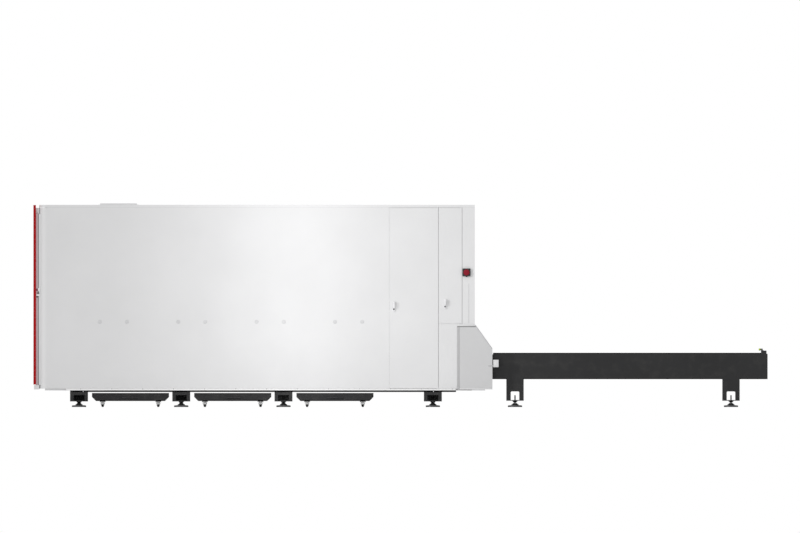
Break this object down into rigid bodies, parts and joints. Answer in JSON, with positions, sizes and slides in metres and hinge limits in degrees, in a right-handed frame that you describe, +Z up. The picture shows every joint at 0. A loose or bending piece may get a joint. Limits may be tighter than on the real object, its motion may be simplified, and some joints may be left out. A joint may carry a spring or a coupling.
{
  "type": "fiber laser cutting machine",
  "caption": "Enclosed sheet-cutting machine: a white cabin with a red front over a gantry and slag drawers, and an exchange table with shuttle pallets behind.",
  "frame": {"origin": "middle of the machine's footprint, on the floor", "axes": "+X along the machine from the operator's front to the end of the exchange table, +Z up; the service doors are on the -Y side"},
  "size_m": [8.223, 2.388, 2.281],
  "materials": {
    "white_paint": "fine-textured white powder coat",
    "grey_paint": "satin light grey powder coat",
    "red_paint": "satin red powder coat",
    "door_paint": "satin dark grey powder coat",
    "dark_paint": "fine-textured near-black powder coat",
    "drawer_paint": "fine-textured near-black powder coat",
    "beam_paint": "satin grey paint",
    "motor_paint": "black anodised and painted",
    "tinted_glass": "green-brown laser-safe glazing",
    "screen_plastic": "glossy screen in a black bezel",
    "white_plastic": "moulded, satin",
    "black_plastic": "moulded, matt",
    "red_plastic": "moulded, glossy",
    "nylon": "turned nylon",
    "rubber": "matt",
    "rail_steel": "ground and hardened",
    "slat_steel": "mill finish, heat-tinted teeth",
    "foot_steel": "zinc plated",
    "zinc": "bright zinc plate",
    "aluminium": "anodised"
  },
  "bodies": {
    "machine": {"machine_bed": "dark_paint", "levelling_feet": "foot_steel", "bed_rails_and_racks": "rail_steel", "cabin_frame": "white_paint", "side_panel_near": "white_paint", "side_panel_far": "white_paint", "panel_plugs": "white_plastic", "rear_wall": "white_paint", "rear_hood": "grey_paint", "roof_panel": "white_paint", "roof_vent": "white_paint", "front_frame": "white_paint", "front_fascia": "red_paint", "front_latch": "zinc", "control_screen": "screen_plastic", "stop_box": "black_plastic", "docking_brackets": "white_paint", "table_frame": "dark_paint", "lift_cylinders": "aluminium", "end_stop": "black_plastic", "pallet_sensor": "black_plastic"},
    "front_leaf": {"front_door": "door_paint", "front_window": "tinted_glass", "front_handle": "aluminium"},
    "wide_leaf": {"wide_door": "white_paint"},
    "wide_lever": {"wide_door_handle": "white_plastic"},
    "narrow_leaf": {"narrow_door": "white_paint"},
    "narrow_lever": {"narrow_door_handle": "white_plastic"},
    "stop_cap": {"stop_button": "red_plastic"},
    "gantry": {"gantry_beam": "beam_paint", "guide_blocks": "rail_steel", "gantry_motors": "motor_paint", "beam_rails_and_rack": "rail_steel"},
    "gantry_gears": {"gantry_pinions": "rail_steel"},
    "carriage": {"head_carriage": "aluminium", "carriage_motors": "motor_paint"},
    "carriage_gear": {"carriage_pinion": "rail_steel"},
    "screw": {"lift_screw": "rail_steel"},
    "head": {"head_slide": "aluminium", "cutting_head": "aluminium"},
    "table_lift": {"lift_frame": "dark_paint", "table_motor": "motor_paint"},
    "drive_shaft": {"table_shaft": "rail_steel"},
    "inner_tray": {"inner_pallet": "dark_paint", "inner_slats": "slat_steel"},
    "inner_front_wheels": {"inner_wheels_front": "nylon"},
    "inner_rear_wheels": {"inner_wheels_rear": "nylon"},
    "outer_tray": {"outer_pallet": "dark_paint", "outer_slats": "slat_steel"},
    "outer_front_wheels": {"outer_wheels_front": "nylon"},
    "outer_rear_wheels": {"outer_wheels_rear": "nylon"},
    "drawer_1": {"slag_drawer_1": "drawer_paint"},
    "drawer_1_front_wheels": {"drawer_wheels_front_1": "rubber"},
    "drawer_1_rear_wheels": {"drawer_wheels_rear_1": "rubber"},
    "drawer_2": {"slag_drawer_2": "drawer_paint"},
    "drawer_2_front_wheels": {"drawer_wheels_front_2": "rubber"},
    "drawer_2_rear_wheels": {"drawer_wheels_rear_2": "rubber"},
    "drawer_3": {"slag_drawer_3": "drawer_paint"},
    "drawer_3_front_wheels": {"drawer_wheels_front_3": "rubber"},
    "drawer_3_rear_wheels": {"drawer_wheels_rear_3": "rubber"}
  },
  "joints": [
    {"name": "front_door_slide", "type": "slide", "parent": "machine", "child": "front_leaf", "axis": [0, 1, 0], "range_m": [0, 0.96]},
    {"name": "wide_door_hinge", "type": "hinge", "parent": "machine", "child": "wide_leaf", "pos_m": [0.4155, -1.142, 0.209], "axis": [0, 0, 1], "range_deg": [0, 100]},
    {"name": "narrow_door_hinge", "type": "hinge", "parent": "machine", "child": "narrow_leaf", "pos_m": [0.6815, -1.142, 0.935], "axis": [0, 0, 1], "range_deg": [0, 90]},
    {"name": "wide_handle_turn", "type": "hinge", "parent": "wide_leaf", "child": "wide_lever", "pos_m": [-0.0745, -1.15, 1.163], "axis": [0, -1, 0], "range_deg": [0, 90]},
    {"name": "narrow_handle_turn", "type": "hinge", "parent": "narrow_leaf", "child": "narrow_lever", "pos_m": [0.4995, -1.15, 1.192], "axis": [0, -1, 0], "range_deg": [0, 90]},
    {"name": "stop_press", "type": "slide", "parent": "machine", "child": "stop_cap", "axis": [0, 1, 0], "range_m": [0, 0.006], "stiffness_N_per_m": 800},
    {"name": "gantry_slide", "type": "slide", "parent": "machine", "child": "gantry", "axis": [1, 0, 0], "range_m": [-3.2, 0]},
    {"name": "gantry_pinion_spin", "type": "hinge", "parent": "gantry", "child": "gantry_gears", "pos_m": [0.2985, 0, 0.672], "axis": [0, 1, 0], "continuous": true},
    {"name": "carriage_slide", "type": "slide", "parent": "gantry", "child": "carriage", "axis": [0, 1, 0], "range_m": [-0.76, 0.76]},
    {"name": "carriage_pinion_spin", "type": "hinge", "parent": "carriage", "child": "carriage_gear", "pos_m": [-0.0635, 0.1, 0.87], "axis": [1, 0, 0], "continuous": true},
    {"name": "head_lift", "type": "slide", "parent": "carriage", "child": "head", "axis": [0, 0, 1], "range_m": [-0.17, 0]},
    {"name": "screw_spin", "type": "hinge", "parent": "carriage", "child": "screw", "pos_m": [-0.1315, -0.04, 1.08], "axis": [0, 0, 1], "continuous": true},
    {"name": "table_lift_slide", "type": "slide", "parent": "machine", "child": "table_lift", "axis": [0, 0, 1], "range_m": [-0.145, 0]},
    {"name": "outer_pallet_slide", "type": "slide", "parent": "table_lift", "child": "outer_tray", "axis": [1, 0, 0], "range_m": [-4.335, 0]},
    {"name": "inner_pallet_slide", "type": "slide", "parent": "machine", "child": "inner_tray", "axis": [-1, 0, 0], "range_m": [-4.335, 0]},
    {"name": "drive_shaft_spin", "type": "hinge", "parent": "table_lift", "child": "drive_shaft", "pos_m": [4.0285, 0, 0.546], "axis": [0, 1, 0], "continuous": true},
    {"name": "inner_front_wheel_spin", "type": "hinge", "parent": "inner_tray", "child": "inner_front_wheels", "pos_m": [-3.2065, 0, 0.379], "axis": [0, 1, 0], "continuous": true},
    {"name": "inner_rear_wheel_spin", "type": "hinge", "parent": "inner_tray", "child": "inner_rear_wheels", "pos_m": [-0.6065, 0, 0.379], "axis": [0, 1, 0], "continuous": true},
    {"name": "outer_front_wheel_spin", "type": "hinge", "parent": "outer_tray", "child": "outer_front_wheels", "pos_m": [1.1285, 0, 0.524], "axis": [0, 1, 0], "continuous": true},
    {"name": "outer_rear_wheel_spin", "type": "hinge", "parent": "outer_tray", "child": "outer_rear_wheels", "pos_m": [3.7285, 0, 0.524], "axis": [0, 1, 0], "continuous": true},
    {"name": "drawer_1_slide", "type": "slide", "parent": "machine", "child": "drawer_1", "axis": [0, -1, 0], "range_m": [0, 1.7]},
    {"name": "drawer_1_front_wheel_spin", "type": "hinge", "parent": "drawer_1", "child": "drawer_1_front_wheels", "pos_m": [-3.024, -1.01, 0.025], "axis": [1, 0, 0], "continuous": true},
    {"name": "drawer_1_rear_wheel_spin", "type": "hinge", "parent": "drawer_1", "child": "drawer_1_rear_wheels", "pos_m": [-3.024, 0.75, 0.025], "axis": [1, 0, 0], "continuous": true},
    {"name": "drawer_2_slide", "type": "slide", "parent": "machine", "child": "drawer_2", "axis": [0, -1, 0], "range_m": [0, 1.7]},
    {"name": "drawer_2_front_wheel_spin", "type": "hinge", "parent": "drawer_2", "child": "drawer_2_front_wheels", "pos_m": [-1.879, -1.01, 0.025], "axis": [1, 0, 0], "continuous": true},
    {"name": "drawer_2_rear_wheel_spin", "type": "hinge", "parent": "drawer_2", "child": "drawer_2_rear_wheels", "pos_m": [-1.879, 0.75, 0.025], "axis": [1, 0, 0], "continuous": true},
    {"name": "drawer_3_slide", "type": "slide", "parent": "machine", "child": "drawer_3", "axis": [0, -1, 0], "range_m": [0, 1.7]},
    {"name": "drawer_3_front_wheel_spin", "type": "hinge", "parent": "drawer_3", "child": "drawer_3_front_wheels", "pos_m": [-0.734, -1.01, 0.025], "axis": [1, 0, 0], "continuous": true},
    {"name": "drawer_3_rear_wheel_spin", "type": "hinge", "parent": "drawer_3", "child": "drawer_3_rear_wheels", "pos_m": [-0.734, 0.75, 0.025], "axis": [1, 0, 0], "continuous": true}
  ],
  "couplings": [
    {"joint": "gantry_pinion_spin", "follows": "gantry_slide", "rad_per_m": 33.333},
    {"joint": "carriage_pinion_spin", "follows": "carriage_slide", "rad_per_m": -33.333},
    {"joint": "screw_spin", "follows": "head_lift", "rad_per_m": 628.32},
    {"joint": "drive_shaft_spin", "follows": "outer_pallet_slide", "rad_per_m": 33.333},
    {"joint": "inner_front_wheel_spin", "follows": "inner_pallet_slide", "rad_per_m": -28.818},
    {"joint": "inner_rear_wheel_spin", "follows": "inner_pallet_slide", "rad_per_m": -28.818},
    {"joint": "outer_front_wheel_spin", "follows": "outer_pallet_slide", "rad_per_m": 28.818},
    {"joint": "outer_rear_wheel_spin", "follows": "outer_pallet_slide", "rad_per_m": 28.818},
    {"joint": "drawer_1_front_wheel_spin", "follows": "drawer_1_slide", "rad_per_m": 40},
    {"joint": "drawer_1_rear_wheel_spin", "follows": "drawer_1_slide", "rad_per_m": 40},
    {"joint": "drawer_2_front_wheel_spin", "follows": "drawer_2_slide", "rad_per_m": 40},
    {"joint": "drawer_2_rear_wheel_spin", "follows": "drawer_2_slide", "rad_per_m": 40},
    {"joint": "drawer_3_front_wheel_spin", "follows": "drawer_3_slide", "rad_per_m": 40},
    {"joint": "drawer_3_rear_wheel_spin", "follows": "drawer_3_slide", "rad_per_m": 40}
  ]
}
